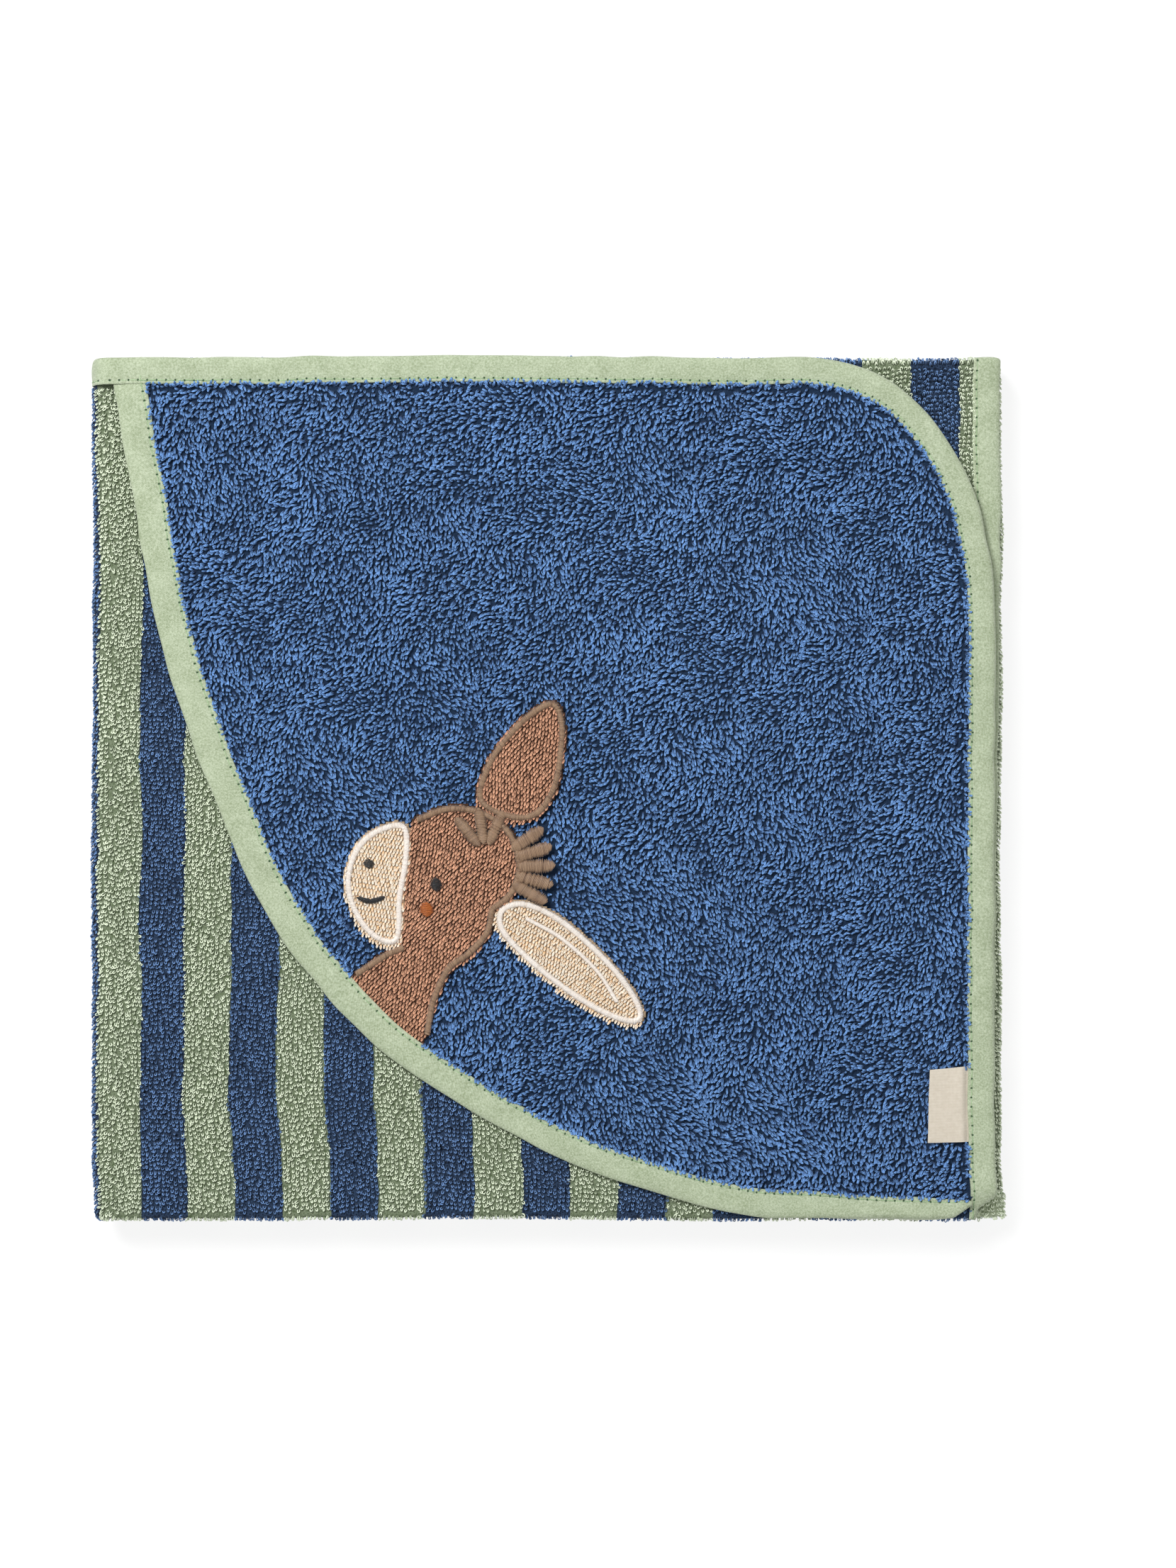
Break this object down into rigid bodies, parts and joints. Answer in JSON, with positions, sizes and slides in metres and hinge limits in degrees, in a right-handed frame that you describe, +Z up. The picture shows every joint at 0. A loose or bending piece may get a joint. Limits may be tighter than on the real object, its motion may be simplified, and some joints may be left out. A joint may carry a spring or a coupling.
{
  "type": "hooded baby towel",
  "caption": "Hooded baby towel of striped terry with bias-bound edges, folded in thirds both ways, with its appliqued hood on top.",
  "frame": {"origin": "middle of the folded packet's underside, on the surface it lies on", "axes": "+Z up through the stack of layers, +X across the packet from the left fold to the right fold, +Y towards the hood's bound top edge"},
  "size_m": [0.3528, 0.3334, 0.0301],
  "materials": {
    "striped_terry": "looped cotton pile in blue and sage stripes, very rough",
    "hood_terry": "longer looped cotton pile, blue",
    "binding_cotton": "fine twill bias tape, pale green, soft sheen",
    "sewing_thread": "polyester thread",
    "applique_brown_terry": "short looped pile, warm brown",
    "applique_cream_terry": "short looped pile, cream",
    "satin_thread_brown": "embroidery thread, slight sheen",
    "satin_thread_white": "embroidery thread, slight sheen",
    "satin_thread_black": "embroidery thread, slight sheen",
    "satin_thread_orange": "embroidery thread, slight sheen",
    "label_tape": "plain woven tape"
  },
  "bodies": {
    "base_third": {"binding_base_third": "binding_cotton", "binding_right_fold_edge_a": "binding_cotton", "binding_right_fold_edge_c": "binding_cotton", "towel_base_third": "striped_terry", "towel_right_fold": "striped_terry"},
    "middle_third": {"binding_left_fold_edge_a": "binding_cotton", "binding_left_fold_edge_c": "binding_cotton", "binding_middle_third_edge_a": "binding_cotton", "binding_middle_third_edge_c": "binding_cotton", "towel_left_fold": "striped_terry", "towel_middle_third": "striped_terry"},
    "hood_third": {"applique_drooping_ear": "applique_cream_terry", "applique_head": "applique_brown_terry", "applique_muzzle": "applique_cream_terry", "applique_upright_ear": "applique_brown_terry", "binding_hood_edge": "binding_cotton", "binding_hood_third": "binding_cotton", "embroidered_cheek": "satin_thread_orange", "embroidered_eye": "satin_thread_black", "embroidered_mouth": "satin_thread_black", "embroidered_nostril": "satin_thread_black", "forelock_tuft_1": "satin_thread_brown", "forelock_tuft_2": "satin_thread_brown", "forelock_tuft_3": "satin_thread_brown", "hood_panel": "hood_terry", "mane_tuft_1": "satin_thread_brown", "mane_tuft_2": "satin_thread_brown", "mane_tuft_3": "satin_thread_brown", "mane_tuft_4": "satin_thread_brown", "mane_tuft_5": "satin_thread_brown", "satin_drooping_ear_outline": "satin_thread_white", "satin_ear_lining": "satin_thread_white", "satin_head_outline": "satin_thread_brown", "satin_muzzle_outline": "satin_thread_white", "satin_throat_outline": "satin_thread_brown", "satin_upright_ear_outline": "satin_thread_brown", "topstitch_hood_edge": "sewing_thread", "topstitch_hood_third": "sewing_thread", "towel_hood_third": "striped_terry"},
    "label": {"woven_label": "label_tape"}
  },
  "joints": [
    {"name": "right_fold", "type": "hinge", "parent": "base_third", "child": "middle_third", "pos_m": [0.1681, 0, 0.00825], "axis": [0, 1, 0], "range_deg": [0, 180], "deforming": ["binding_right_fold_edge_a", "binding_right_fold_edge_c", "towel_right_fold"]},
    {"name": "left_fold", "type": "hinge", "parent": "middle_third", "child": "hood_third", "pos_m": [-0.1681, 0, 0.01665], "axis": [0, -1, 0], "range_deg": [0, 180], "deforming": ["binding_left_fold_edge_a", "binding_left_fold_edge_c", "towel_left_fold"]},
    {"name": "label_flip", "type": "hinge", "parent": "hood_third", "child": "label", "pos_m": [0.1609, -0.107, 0.0284], "axis": [0, 1, 0], "range_deg": [0, 150]}
  ]
}
